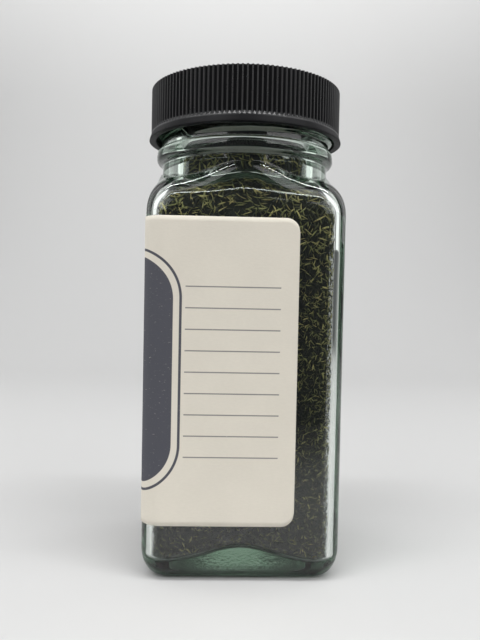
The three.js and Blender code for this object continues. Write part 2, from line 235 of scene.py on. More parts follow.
class Expression:
    """A socket of a node tree. Python's operators on it add the Math nodes."""

    def __init__(self, nodes, socket):
        self.nodes = nodes
        self.socket = socket

    def _math(self, kind, *values):
        node = self.nodes.add("ShaderNodeMath", {"operation": kind}, dict(enumerate(values)))
        return Expression(self.nodes, node.outputs[0])

    __add__, __radd__ = operation("ADD"), operation("ADD", True)
    __sub__, __rsub__ = operation("SUBTRACT"), operation("SUBTRACT", True)
    __mul__, __rmul__ = operation("MULTIPLY"), operation("MULTIPLY", True)
    __truediv__, __rtruediv__ = operation("DIVIDE"), operation("DIVIDE", True)
    __pow__ = operation("POWER")
    above, below = operation("GREATER_THAN"), operation("LESS_THAN")
    least, most = operation("MINIMUM"), operation("MAXIMUM")
    angle_with = operation("ARCTAN2")

    def __neg__(self):
        return self._math("MULTIPLY", self, -1)

    def __abs__(self):
        return self._math("ABSOLUTE", self)

    def fract(self):
        return self._math("FRACT", self)

    def root(self):
        return self._math("SQRT", self)

    def ramp(self, low, high, to_low=0, to_high=1):
        """This value's place between low and high, smoothed, as a number from to_low to to_high."""
        node = self.nodes.add(
            "ShaderNodeMapRange", {"interpolation_type": "SMOOTHSTEP"},
            {0: self, 1: low, 2: high, 3: to_low, 4: to_high},
        )
        return Expression(self.nodes, node.outputs[0])


class Nodes:
    """Adds nodes to one tree."""

    def __init__(self, tree):
        self.tree = tree

    def add(self, kind, settings=None, inputs=None):
        """A node of one type: first its settings, then its sockets' values or links."""
        node = self.tree.nodes.new(kind)
        for name, value in (settings or {}).items():
            if name == "stops":
                self._stops(node.color_ramp, value)
            else:
                setattr(node, name, value)
        for key, value in (inputs or {}).items():
            socket = node.inputs[key]
            if isinstance(value, Expression):
                value = value.socket
            if isinstance(value, bpy.types.NodeSocket):
                self.tree.links.new(value, socket)
            else:
                socket.default_value = value
        return node

    def _stops(self, ramp, stops):
        while len(ramp.elements) < len(stops):
            ramp.elements.new(0.5)
        for element, (position, colour) in zip(ramp.elements, stops):
            element.position = position
            element.color = (*colour, 1)

    def out(self, kind, settings=None, inputs=None, output=0):
        """The same, as an expression on one of the node's outputs."""
        return Expression(self, self.add(kind, settings, inputs).outputs[output])

    def axes(self, vector):
        """The three parts of a vector, as expressions."""
        node = self.add("ShaderNodeSeparateXYZ", inputs={0: vector})
        return [Expression(self, socket) for socket in node.outputs]


def new_material(name):
    """An empty material with its output node, and the helper that adds nodes to it."""
    material = bpy.data.materials.new(name)
    material.use_nodes = True
    material.node_tree.nodes.clear()
    nodes = Nodes(material.node_tree)
    return material, nodes, nodes.add("ShaderNodeOutputMaterial")


def surface(nodes, output, inputs):
    """A Principled shader on the material's surface."""
    shader = nodes.add("ShaderNodeBsdfPrincipled", inputs=inputs)
    nodes.tree.links.new(shader.outputs[0], output.inputs["Surface"])


def bump(nodes, height, strength, distance):
    return nodes.out(
        "ShaderNodeBump", inputs={"Height": height, "Strength": strength, "Distance": distance}
    )


def object_place(nodes):
    return nodes.out("ShaderNodeTexCoord", output=3)


def grain(nodes, place, scale, detail=3, roughness=0.55):
    return nodes.out(
        "ShaderNodeTexNoise",
        inputs={"Vector": place, "Scale": scale, "Detail": detail, "Roughness": roughness},
    )


def mix_colour(nodes, factor, first, second):
    """A blend of two colours. Each is a socket, an expression or three numbers."""
    def as_input(colour):
        return (*colour, 1) if isinstance(colour, tuple) else colour

    return nodes.out(
        "ShaderNodeMix", {"data_type": "RGBA"},
        {0: factor, 6: as_input(first), 7: as_input(second)}, output=2,
    )


# Shape of the jar, as formulas that take arrays


def square_radius(angle, half, corner):
    """Distance from the axis to a rounded square's edge, in each direction."""
    a, b = np.abs(np.cos(angle)), np.abs(np.sin(angle))
    long, short = np.maximum(a, b), np.minimum(a, b)
    straight = half - corner
    along = straight * (a + b)
    bend = along + np.sqrt(np.maximum(corner**2 - 2 * straight**2 + along**2, 0))
    return np.where(half / long * short <= straight, half / long, bend)


def rounded_line(points, passes=2):
    """A line of points with its corners cut again and again, which rounds them."""
    line = np.array(points, float)
    for _ in range(passes):
        first, second = line[:-1], line[1:]
        cut = np.stack([0.75 * first + 0.25 * second, 0.25 * first + 0.75 * second], axis=1)
        line = np.concatenate([line[:1], cut.reshape(-1, line.shape[1]), line[-1:]])
    return line


def shoulder_line():
    """How square the body still is at each height: a quarter of an ellipse, then a fillet."""
    line = [(math.cos(t), SHOULDER_LOW + SHOULDER_HEIGHT * math.sin(t))
            for t in np.linspace(0, math.radians(79), 12)]
    top = SHOULDER_LOW + SHOULDER_HEIGHT
    return rounded_line([*line, (0, top + 0.1 * MM), (0, top + 0.6 * MM)]).T


SHOULDER_SHARES, SHOULDER_HEIGHTS = shoulder_line()


def square_section(angle, inset):
    """The body's rounded square, and the radius of the neck or bore above it."""
    corner = max(BODY_CORNER - CORNER_SHRINK * inset, LEAST_CORNER)
    neck = NECK_RADIUS if inset == 0 else BORE_LOW_RADIUS + WALL - inset
    return square_radius(angle, BODY_HALF - inset, corner), neck


def shoulder_stretch(inset):
    return 1 - SHOULDER_THICKENING * inset / SHOULDER_HEIGHT


def shoulder_arch(angle, inset):
    """How much higher the shoulder ends in each direction than it does at the corners."""
    rise = ARCH_OUTSIDE if inset == 0 else ARCH_INSIDE
    return rise * (0.5 + 0.5 * np.cos(4 * angle)) ** 1.5


def shoulder_bend(angle, inset):
    """The arch's height for each square of the height climbed, so that it grows smoothly."""
    return shoulder_arch(angle, inset) / (SHOULDER_HEIGHT * shoulder_stretch(inset)) ** 2


def body_radius(angle, height, inset):
    """The body's edge. Over the shoulder the square turns into the circle of the neck or bore."""
    square, neck = square_section(angle, inset)
    above = np.maximum(height - SHOULDER_LOW, 0)
    climb = 2 * above / (1 + np.sqrt(1 + 4 * shoulder_bend(angle, inset) * above))
    level = SHOULDER_LOW + climb / shoulder_stretch(inset)
    return neck + (square - neck) * np.interp(level, SHOULDER_HEIGHTS, SHOULDER_SHARES)


def shoulder_rings(angle, inset):
    """The shoulder's lines, which arch up over the middle of each face."""
    square, neck = square_section(angle, inset)
    rings = []
    for share, height in zip(SHOULDER_SHARES, SHOULDER_HEIGHTS):
        climb = (height - SHOULDER_LOW) * shoulder_stretch(inset)
        lifted = SHOULDER_LOW + climb + shoulder_bend(angle, inset) * climb**2
        rings.append(ring(angle, neck + (square - neck) * share, lifted))
    return rings


def floor_height(x, y):
    """The jar's inner floor: low at the corners, with a soft ridge along both middle lines."""
    along_x = np.exp(-((x / FLOOR_RIDGE_SPREAD) ** 2))
    along_y = np.exp(-((y / FLOOR_RIDGE_SPREAD) ** 2))
    return FLOOR_LOW + FLOOR_RIDGE * (along_x + along_y - along_x * along_y)


def directions(count):
    """Directions round the axis, spaced evenly along the rounded square's edge."""
    fine = np.linspace(0, TURN, 7201)
    r = square_radius(fine, BODY_HALF, BODY_CORNER)
    x, y = r * np.cos(fine), r * np.sin(fine)
    run = np.concatenate([[0], np.cumsum(np.hypot(np.diff(x), np.diff(y)))])
    return np.interp(np.arange(count) / count * run[-1], run, fine)


def ring(angle, radius, height):
    """One closed line of points round the axis."""
    radius, height = np.broadcast_to(radius, angle.shape), np.broadcast_to(height, angle.shape)
    return np.stack([radius * np.cos(angle), radius * np.sin(angle), height], axis=1)


def skin_object(name, rings):
    """A mesh object through rings of points, with a fan at each end."""
    count = len(rings[0])
    points = np.concatenate(rings)
    faces = []
    for i in range(len(rings) - 1):
        low, high = i * count, (i + 1) * count
        faces += [(low + j, low + (j + 1) % count, high + (j + 1) % count, high + j)
                  for j in range(count)]
    first, last = len(points), len(points) + 1
    points = np.concatenate([points, [rings[0].mean(0)], [rings[-1].mean(0)]])
    top = (len(rings) - 1) * count
    faces += [(first, (j + 1) % count, j) for j in range(count)]
    faces += [(last, top + j, top + (j + 1) % count) for j in range(count)]
    return mesh_object(name, points.tolist(), faces)


def new_object(name, data):
    """An object in the scene, with its mesh, light or camera."""
    item = bpy.data.objects.new(name, data)
    bpy.context.scene.collection.objects.link(item)
    return item


def mesh_object(name, points, faces, smooth=True):
    mesh = bpy.data.meshes.new(name)
    mesh.from_pydata(points, [], faces)
    mesh.validate()
    shape = bmesh.new()
    shape.from_mesh(mesh)
    bmesh.ops.recalc_face_normals(shape, faces=shape.faces)
    if shape.calc_volume(signed=True) < 0:
        bmesh.ops.reverse_faces(shape, faces=shape.faces)
    shape.to_mesh(mesh)
    shape.free()
    mesh.shade_smooth() if smooth else mesh.shade_flat()
    return new_object(name, mesh)


def finish_piece(piece, body, slot, material, *nodes):
    """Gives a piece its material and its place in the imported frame."""
    if material:
        piece.data.materials.clear()
        piece.data.materials.append(material)
    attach(piece, body)
    if nodes:
        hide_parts(*nodes)


# Glass jar


def thread_rise(angle, height, thread):
    """How far a thread's ridge stands out of its wall, for each direction at one height."""
    bottom, turns, tall, wide = thread
    turn = (angle - THREAD_START) % TURN / TURN
    rise = np.zeros_like(angle)
    for lap in range(math.ceil(turns)):
        done = turn + lap
        away = np.abs(height - bottom - PITCH * done) / (wide / 2)
        across = np.clip((1.05 - away) / 0.5, 0, 1)
        ends = np.clip(np.minimum(done, turns - done) / THREAD_FADE_TURNS, 0, 1)
        smooth = (across * across * (3 - 2 * across)) * (ends * ends * (3 - 2 * ends))
        rise = np.maximum(rise, tall * smooth)
    return rise


def jar_outer_rings(angle):
    def square(half, share):
        return square_radius(angle, half, share * half)

    rings = [
        ring(angle, square(FOOT_INNER_HALF * share, 0.35), PUSH_UP * rise)
        for share, rise in [(0.1, 1), (0.3, 0.98), (0.5, 0.92), (0.7, 0.78), (0.84, 0.55),
                            (0.93, 0.28), (0.98, 0.08), (1, 0.01)]
    ]
    rings.append(ring(angle, square(FOOT_INNER_HALF + 1 * MM, 0.3), 0))
    for t in np.linspace(0, math.pi / 2, 17):
        half = FOOT_HALF + (BODY_HALF - FOOT_HALF) * math.sin(t)
        corner = BODY_CORNER - 0.45 * (BODY_HALF - half)
        rings.append(
            ring(angle, square_radius(angle, half, corner), HEEL_HEIGHT * (1 - math.cos(t)))
        )
    for height in np.linspace(HEEL_HEIGHT + 4 * MM, SHOULDER_LOW - 3 * MM, 12):
        rings.append(ring(angle, square_radius(angle, BODY_HALF, BODY_CORNER), height))
    rings += shoulder_rings(angle, 0)
    neck = rounded_line([
        (NECK_RADIUS, RING_LOW - 1.1 * MM),
        (NECK_RADIUS, RING_LOW - 0.2 * MM),
        (RING_RADIUS, RING_LOW + 0.2 * MM),
        (RING_RADIUS, RING_HIGH - 0.6 * MM),
        (RING_RADIUS - 0.5 * MM, RING_HIGH),
        (FINISH_RADIUS, RING_HIGH + 0.1 * MM),
        (FINISH_RADIUS, RING_HIGH + 0.4 * MM),
    ], 3)
    rings += [ring(angle, r, z) for r, z in neck]
    for height in np.arange(RING_HIGH + 0.5 * MM, LIP_HEIGHT - 2 * MM, 0.13 * MM):
        rings.append(ring(angle, FINISH_RADIUS + thread_rise(angle, height, GLASS_THREAD), height))
    lip = rounded_line([
        (FINISH_RADIUS, LIP_HEIGHT - 1.9 * MM),
        (FINISH_RADIUS, LIP_HEIGHT),
        (BORE_TOP_RADIUS, LIP_HEIGHT),
        (BORE_TOP_RADIUS, LIP_HEIGHT - 2.4 * MM),
    ])
    return rings + [ring(angle, r, z) for r, z in lip]


def jar_inner_rings(angle, inset=0.0):
    """The cavity's wall from the bore down to the floor. A filling's wall has an inset."""
    rings = []
    for height in np.linspace(LIP_HEIGHT - 3 * MM, BORE_START + 0.3 * MM, 12):
        share = (height - BORE_START) / (LIP_HEIGHT - BORE_START)
        radius = BORE_LOW_RADIUS + (BORE_TOP_RADIUS - BORE_LOW_RADIUS) * share
        rings.append(ring(angle, radius - inset, height))
    rings.append(ring(angle, BORE_LOW_RADIUS - inset, BORE_START - 1 * MM))
    rings += shoulder_rings(angle, WALL + inset)[::-1]
    half = BODY_HALF - WALL - inset
    corner = max(BODY_CORNER - CORNER_SHRINK * (WALL + inset), LEAST_CORNER)
    wall = square_radius(angle, half, corner)
    for height in np.linspace(SHOULDER_LOW - 1 * MM, 13 * MM, 46):
        rings.append(ring(angle, wall, height))
    for t in np.linspace(0, math.pi / 2, 11):
        radius = square_radius(angle, half - FLOOR_FILLET * (1 - math.cos(t)), corner)
        x, y = radius * np.cos(angle), radius * np.sin(angle)
        rise = FLOOR_FILLET * (1 - math.sin(t)) + inset
        rings.append(ring(angle, radius, floor_height(x, y) + rise))
    for share in np.linspace(0.78, 0.06, 10):
        x, y = share * wall * np.cos(angle), share * wall * np.sin(angle)
        rings.append(ring(angle, share * wall, floor_height(x, y) + inset))
    return rings


def uneven(rings, amount):
    """Rings moved in and out a little by smooth noise, as in pressed glass."""
    moved = []
    for points in rings:
        level = np.array([noise.noise(Vector(p) / (7 * MM)) for p in points])
        away = np.hypot(points[:, 0], points[:, 1])
        shift = (1 + amount * level / np.maximum(away, 6 * MM))[:, None]
        moved.append(np.concatenate([points[:, :2] * shift, points[:, 2:]], axis=1))
    return moved


def glass_material(settings):
    """Clear glass whose thick parts turn green. Shadow rays pass, so the inside is lit. Low in the
    heel the colour is painted almost black as shade, with streaks of painted glints through it.
    """
    material, nodes, output = new_material("clear_glass")
    place = object_place(nodes)
    height = nodes.axes(place)[2]
    underside = height.ramp(0.9 * MM, 1.6 * MM, 1, 0)
    stipple = grain(nodes, place, 1300, 2, 0.5) * underside
    waves = grain(nodes, place, 70, 2) * 0.018
    relief = bump(nodes, waves + stipple * 1.2, 1.0, 0.2 * MM)
    # Painted shade: low in the heel the base colour turns almost black, and stretched noise leaves
    # streaks of painted glints in it.
    streak_stretch = nodes.out("ShaderNodeMapping", inputs={"Vector": place, "Scale": (110, 110, 1500)})
    painted_glint_streaks = grain(nodes, streak_stretch, 1, 3, 0.6)
    unshaded_share = (height + (painted_glint_streaks - 0.5) * (2.4 * MM)).ramp(2.2 * MM, 4.8 * MM, 0.1, 1)
    painted_heel_shade = mix_colour(nodes, unshaded_share, (0, 0.02, 0.01), (1, 1, 1))
    glass = nodes.add("ShaderNodeBsdfPrincipled", inputs={
        "Base Color": painted_heel_shade, "Roughness": underside * 0.12, "IOR": 1.5,
        "Transmission Weight": 1.0, "Normal": relief,
    })
    clear = nodes.add("ShaderNodeBsdfTransparent", inputs={"Color": (0.9, 0.93, 0.92, 1)})
    above_base = height.ramp(6 * MM, 16 * MM)
    shadow = nodes.out("ShaderNodeLightPath", output=1) * above_base
    mixed = nodes.out(
        "ShaderNodeMixShader", inputs={0: shadow, 1: glass.outputs[0], 2: clear.outputs[0]}
    )
    tint = nodes.out("ShaderNodeVolumeAbsorption", inputs={
        "Color": (*settings.tint, 1), "Density": settings.tint_density,
    })
    nodes.tree.links.new(mixed.socket, output.inputs["Surface"])
    nodes.tree.links.new(tint.socket, output.inputs["Volume"])
    return material


class SPICEJAR_OT_glass(bpy.types.Operator):
    """Builds the glass jar with its ring, thread, wavy inner wall and thick base"""

    bl_idname = "spice_jar.glass"
    bl_label = "Glass Jar"

    def execute(self, context):
        settings = context.scene.spice_jar_glass
        angle = directions(208)
        rings = jar_outer_rings(angle) + uneven(jar_inner_rings(angle), settings.waviness)
        jar = skin_object("jar_of_clear_glass", rings)
        finish_piece(jar, "jar", "clear_glass", glass_material(settings), "glass_jar")
        return {"FINISHED"}


# Paper label


def label_stations(off_glass):
    """The label's path round the jar: the run along it, its whole length and the places."""
    straight = BODY_HALF - BODY_CORNER
    radius = BODY_CORNER + off_glass
    flat, arc = LABEL_END + straight, radius * math.pi / 2
    total = 2 * (flat + arc + straight)
    run = np.concatenate([
        np.linspace(0, LABEL_ROUND, 13)[:-1],
        np.linspace(LABEL_ROUND, total - LABEL_ROUND, 190)[:-1],
        np.linspace(total - LABEL_ROUND, total, 13),
    ])
    from_end = np.minimum(run, total - run)
    turned = np.clip((from_end - flat) / radius, 0, math.pi / 2)
    x = LABEL_END - np.minimum(from_end, flat) - radius * np.sin(turned)
    y = straight + radius * np.cos(turned) - np.maximum(from_end - flat - arc, 0)
    return run, total, np.stack([x, np.where(run < total / 2, -y, y)], axis=1)


def label_object(thickness):
    """A sheet with rounded corners, wrapped round the jar, with its own map in metres."""
    low, high = LABEL_BOX_LOW.z, LABEL_BOX_HIGH.z
    run, total, inner = label_stations(LABEL_OFF_GLASS)
    outer = label_stations(LABEL_OFF_GLASS + thickness)[2]
    rows = np.linspace(0, 1, 61)
    from_end = np.minimum(np.minimum(run, total - run), LABEL_ROUND)
    cut = LABEL_ROUND - np.sqrt(LABEL_ROUND**2 - (LABEL_ROUND - from_end) ** 2)
    points, uvs = [], []
    for places in (outer, inner):
        for (x, y), c, s in zip(places, cut, run):
            heights = low + c + (high - low - 2 * c) * rows
            points += [(x, y, z) for z in heights]
            uvs += [(s - total / 2, z) for z in heights]
    count, columns = len(rows), len(run)
    back = count * columns
    faces = []
    for i in range(columns - 1):
        for j in range(count - 1):
            a, b = i * count + j, (i + 1) * count + j
            faces.append((a, b, b + 1, a + 1))
            faces.append((back + a, back + a + 1, back + b + 1, back + b))
        for j in (0, count - 1):
            a, b = i * count + j, (i + 1) * count + j
            faces.append((a, b, back + b, back + a))
    for i in (0, columns - 1):
        for j in range(count - 1):
            a = i * count + j
            faces.append((a, a + 1, back + a + 1, back + a))
    label = mesh_object("wrap_round_label", points, faces, smooth=False)
    layer = label.data.uv_layers.new(name="label_map")
    for loop in label.data.loops:
        layer.data[loop.index].uv = uvs[loop.vertex_index]
    for face in label.data.polygons:
        face.use_smooth = abs(face.normal.z) < 0.5
    return label


def rounded_box_distance(x, y, half_width, half_height, corner):
    """Signed distance to a rounded rectangle about the origin, in a shader."""
    dx = abs(x) - (half_width - corner)
    dy = abs(y) - (half_height - corner)
    outside = (dx.most(0) * dx.most(0) + dy.most(0) * dy.most(0)).root()
    return outside + dx.most(dy).least(0) - corner


def paper_material(settings):
    """Uncoated cream paper with plain rules and a plain panel printed on it."""
    material, nodes, output = new_material("label_paper")
    on_label = nodes.out("ShaderNodeUVMap", {"uv_map": "label_map"})
    place = object_place(nodes)
    along, up, _ = nodes.axes(on_label)
    fibres = grain(nodes, nodes.out(
        "ShaderNodeMapping", inputs={"Vector": on_label, "Scale": (900, 2600, 1)}
    ), 1.0, 4, 0.65)
    cockle = grain(nodes, place, 300, 3, 0.6)
    clouds = grain(nodes, place, 90, 2, 0.5)
    paper = mix_colour(
        nodes, fibres.ramp(0.3, 0.75) * 0.5 + clouds.ramp(0.3, 0.7) * 0.5,
        tuple(c * 0.94 for c in settings.paper), tuple(settings.paper),
    )

    def inked(distance):
        edge = 0.05 * MM
        return distance.ramp(-edge, edge, 1, 0)

    middle = (LABEL_BOX_LOW.z + LABEL_BOX_HIGH.z) / 2
    level = up - middle
    panel = rounded_box_distance(along, level, PANEL_HALF_WIDTH, PANEL_HALF_HEIGHT, PANEL_CORNER)
    rule = abs(rounded_box_distance(
        along, level, PANEL_HALF_WIDTH + FRAME_AWAY, PANEL_HALF_HEIGHT + FRAME_AWAY, FRAME_CORNER
    )) - FRAME_HALF_THICK
    print_mask = inked(panel).most(inked(rule))
    spaced = abs(((abs(level) / LINE_SPACING) + 0.5).fract() - 0.5) * LINE_SPACING
    side = abs(abs(along) - LINES_MIDDLE) - LINES_HALF_LENGTH
    line = (spaced - LINE_HALF_THICK).most(side)
    lines = inked(line.most(abs(level) - LINES_REACH))
    patchy_share = fibres.ramp(0.12, 0.4)
    ink = print_mask.most(lines * 0.75) * patchy_share * 0.94
    colour = mix_colour(nodes, ink, paper, tuple(settings.ink))
    rough = 0.82 - 0.1 * ink
    relief = fibres * 0.35 + cockle * 0.65
    surface(nodes, output, {
        "Base Color": colour, "Roughness": rough, "IOR": 1.45,
        "Specular IOR Level": 0.3, "Normal": bump(nodes, relief, 0.42, 0.12 * MM),
    })
    return material


class SPICEJAR_OT_label(bpy.types.Operator):
    """Builds the paper label that wraps round three faces, with its plain print"""

    bl_idname = "spice_jar.label"
    bl_label = "Paper Label"

    def execute(self, context):
        settings = context.scene.spice_jar_label
        label = label_object(settings.thickness)
        finish_piece(label, "jar", "label_paper", paper_material(settings), "paper_label")
        return {"FINISHED"}


# Dried dill


def dill_top(x, y):
    """Height of the dill's top surface, slightly heaped and uneven."""
    away = np.hypot(x, y) / BORE_LOW_RADIUS
    waves = np.sin(x / (3.1 * MM) + 0.7) * np.cos(y / (2.7 * MM) - 0.4)
    return DILL_TOP + (0.35 * waves - 0.5 * away**2) * MM


def dill_rings(angle, inset):
    """The dill's outside, an inset away from the glass."""
    top = []
    for share in (0.1, 0.3, 0.5, 0.7, 0.85, 0.96):
        radius = (BORE_LOW_RADIUS - inset) * share
        x, y = radius * np.cos(angle), radius * np.sin(angle)
        top.append(ring(angle, radius, dill_top(x, y) - inset))
    wall = [r for r in jar_inner_rings(angle, inset) if r[:, 2].max() < DILL_TOP - 1 * MM - inset]
    return top + wall


def flake_shapes():
    """A hidden collection of curled needle shapes, each one metre long before scaling."""
    shapes = bpy.data.collections.new("flake_shapes")
    bends = [(0.0, 0.03, 0.15), (0.08, 0.15, 0.12), (0.2, 0.05, 0.16), (0.12, -0.15, 0.11)]
    for n, (curl, skew, width) in enumerate(bends):
        points = [(-0.5, 0, 0)]
        for x in (-0.2, 0.2):
            y = curl * (0.25 - x * x) * 2 + skew * x * x * x * 8 * 0.2
            for t in (90, 210, 330):
                side, rise = math.cos(math.radians(t)), math.sin(math.radians(t))
                points.append((x, y + width / 2 * side, width / 2 * 0.8 * rise))
        points.append((0.5, skew * 0.2, 0.03))
        faces = [(0, 2, 1), (0, 3, 2), (0, 1, 3)]
        for a, b in ((1, 2), (2, 3), (3, 1)):
            faces.append((a, b, b + 3, a + 3))
        faces += [(7, 4, 5), (7, 5, 6), (7, 6, 4)]
        shape = mesh_object(f"flake_{n}", points, faces)
        bpy.context.scene.collection.objects.unlink(shape)
        shapes.objects.link(shape)
    return shapes


def new_tree(name, inputs, result):
    """A geometry node tree's node helper, its named inputs and its last node."""
    tree = bpy.data.node_groups.new(name, "GeometryNodeTree")
    for label, kind in inputs.items():
        tree.interface.new_socket(name=label, in_out="INPUT", socket_type="NodeSocket" + kind)
    tree.interface.new_socket(name=result, in_out="OUTPUT", socket_type="NodeSocketGeometry")
    nodes = Nodes(tree)
    return nodes, nodes.add("NodeGroupInput").outputs, nodes.add("NodeGroupOutput")


def close_tree(nodes, given, made, result):
    """Makes a tree's result real, paints it, sends it out and gives the whole tree back."""
    real = nodes.add("GeometryNodeRealizeInstances", inputs={0: result.outputs[0]})
    painted = nodes.add("GeometryNodeSetMaterial", inputs={
        "Geometry": real.outputs[0], "Material": given["Material"],
    })
    nodes.tree.links.new(painted.outputs[0], made.inputs[0])
    return nodes.tree


def scatter_tree():
    """Geometry nodes that lay flakes on a surface, turned every way and sunk to random depths."""
    nodes, given, made = new_tree("scatter_flakes", {
        "Surface": "Geometry", "Flakes": "Collection", "Density": "Float", "Length": "Float",
        "Least share": "Float", "Depth": "Float", "Tilt": "Float", "Seed": "Int",
        "Lowest": "Float", "Highest": "Float", "Material": "Material",
    }, "Flakes made")
    place = nodes.out("GeometryNodeInputPosition")
    x, _, height = nodes.axes(place)
    in_band = height.above(given["Lowest"]) * height.below(given["Highest"])
    behind_label = (
        x.below(LABEL_END - 1 * MM) * height.above(LABEL_BOX_LOW.z + 1 * MM)
        * height.below(LABEL_BOX_HIGH.z - 3 * MM)
    )
    by_height = (
        height.ramp(FINE_BELOW, COARSE_ABOVE, 0.5, 1.0) * height.ramp(10 * MM, FINE_BELOW, 0.8, 1.0)
    )
    facing = nodes.axes(nodes.out("GeometryNodeInputNormal"))[2].ramp(-0.9, -0.4, 0.12, 1)
    crowd = in_band * facing * (1 - behind_label) / by_height ** 1.6
    points = nodes.add("GeometryNodeDistributePointsOnFaces", inputs={
        "Mesh": given["Surface"], "Density": crowd * given["Density"], "Seed": given["Seed"],
    })

    def chance(low, high, offset):
        seed = Expression(nodes, given["Seed"]) + offset
        return nodes.out(
            "FunctionNodeRandomValue", {"data_type": "FLOAT"}, {2: low, 3: high, "Seed": seed},
            output=1,
        )

    sunk = nodes.out("ShaderNodeVectorMath", {"operation": "SCALE"}, {
        0: points.outputs["Normal"],
        "Scale": -(Expression(nodes, given["Depth"]) * chance(0.0, 1.0, 1) ** 1.4),
    })
    moved = nodes.add("GeometryNodeSetPosition", inputs={
        "Geometry": points.outputs["Points"], "Offset": sunk,
    })
    tilt = Expression(nodes, given["Tilt"])
    lean = nodes.out("ShaderNodeCombineXYZ", inputs={
        0: tilt * chance(-1.0, 1.0, 2), 1: tilt * chance(-1.0, 1.0, 3),
        2: chance(0.0, TURN, 4),
    })
    turned = nodes.add("FunctionNodeRotateRotation", {"rotation_space": "LOCAL"}, {
        0: points.outputs["Rotation"],
        1: nodes.out("FunctionNodeEulerToRotation", inputs={0: lean}),
    })
    size = Expression(nodes, given["Length"]) * by_height * chance(given["Least share"], 1.0, 5)
    broad = size / by_height.root()
    slim = nodes.out("ShaderNodeCombineXYZ", inputs={
        0: size, 1: broad * chance(0.5, 1.15, 6), 2: broad * chance(0.5, 1.0, 7),
    })
    flakes = nodes.add("GeometryNodeCollectionInfo", inputs={
        "Collection": given["Flakes"], "Separate Children": True, "Reset Children": True,
    })
    laid = nodes.add("GeometryNodeInstanceOnPoints", inputs={
        "Points": moved.outputs[0], "Instance": flakes.outputs[0], "Pick Instance": True,
        "Rotation": turned.outputs[0], "Scale": slim,
    })
    toned = nodes.add(
        "GeometryNodeStoreNamedAttribute", {"data_type": "FLOAT", "domain": "INSTANCE"},
        {"Geometry": laid.outputs[0], "Name": "tone", "Value": chance(0.0, 1.0, 8)},
    )
    return close_tree(nodes, given, made, toned)


def run_tree(piece, tree, values):
    """Runs a node tree on a piece and returns the result as a plain mesh."""
    modifier = piece.modifiers.new("shape", "NODES")
    modifier.node_group = tree
    for item in tree.interface.items_tree:
        if item.in_out == "INPUT" and item.name in values:
            modifier[item.identifier] = values[item.name]
    bpy.context.view_layer.update()
    graph = bpy.context.evaluated_depsgraph_get()
    mesh = bpy.data.meshes.new_from_object(
        piece.evaluated_get(graph), preserve_all_data_layers=True, depsgraph=graph
    )
    piece.modifiers.clear()
    if not len(mesh.polygons):
        raise RuntimeError(f"{piece.name}: its node tree made no faces")
    return mesh


def keep_off_glass(mesh, gap):
    """Moves points that would reach the glass back in, so that flakes lie flat against it."""
    count = len(mesh.vertices)
    place = np.empty(count * 3)
    mesh.vertices.foreach_get("co", place)
    place = place.reshape(-1, 3)
    x, y, z = place.T
    away, angle = np.hypot(x, y), np.arctan2(y, x)
    square, neck = square_section(angle, WALL)
    squareness = np.clip((away - neck) / (square - neck), 0, 1)
    inner_height = SHOULDER_HEIGHT * shoulder_stretch(WALL)
    climb = np.sqrt(1 - squareness**2)
    ceiling = SHOULDER_LOW + inner_height * climb + shoulder_arch(angle, WALL) * climb**2 - gap
    under = (away > neck) & (squareness < 0.75)
    z = place[:, 2] = np.where(under, np.minimum(z, ceiling), z)
    limit = body_radius(angle, z, WALL) - gap
    limit = np.where(z > BORE_START, BORE_LOW_RADIUS - gap, limit)
    low = z < 12 * MM
    drop = np.clip((floor_height(x, y) + FLOOR_FILLET - z) / FLOOR_FILLET, 0, 1)
    limit = np.where(low, limit - FLOOR_FILLET * (1 - np.sqrt(1 - drop**2)), limit)
    share = np.minimum(1, limit / np.maximum(away, 1e-6))
    place[:, 0] *= share
    place[:, 1] *= share
    lowest = floor_height(place[:, 0], place[:, 1]) + gap
    place[:, 2] = np.maximum(place[:, 2], lowest)
    mesh.vertices.foreach_set("co", place.ravel())
    mesh.update()


def leaf_material(name, stops, roughness):
    """Dry leaf: each flake has its own tone, with fine speckle along it, and painted shade that
    darkens it towards the bottom.
    """
    material, nodes, output = new_material(name)
    tone = nodes.out("ShaderNodeAttribute", {"attribute_name": "tone"}, output=2)
    place = object_place(nodes)
    speckle = grain(nodes, place, 2600, 3, 0.7)
    # Painted shade: the leaf colours darken towards the bottom of the jar.
    painted_low_shade = nodes.axes(place)[2].ramp(18 * MM, 62 * MM, 0.24, 0)
    colour = nodes.out(
        "ShaderNodeValToRGB", {"stops": stops}, {0: tone + (speckle - 0.5) * 0.35 - painted_low_shade}
    )
    surface(nodes, output, {
        "Base Color": colour, "Roughness": roughness + speckle * 0.1,
        "Specular IOR Level": 0.25, "Normal": bump(nodes, speckle, 0.5, 0.08 * MM),
    })
    return material


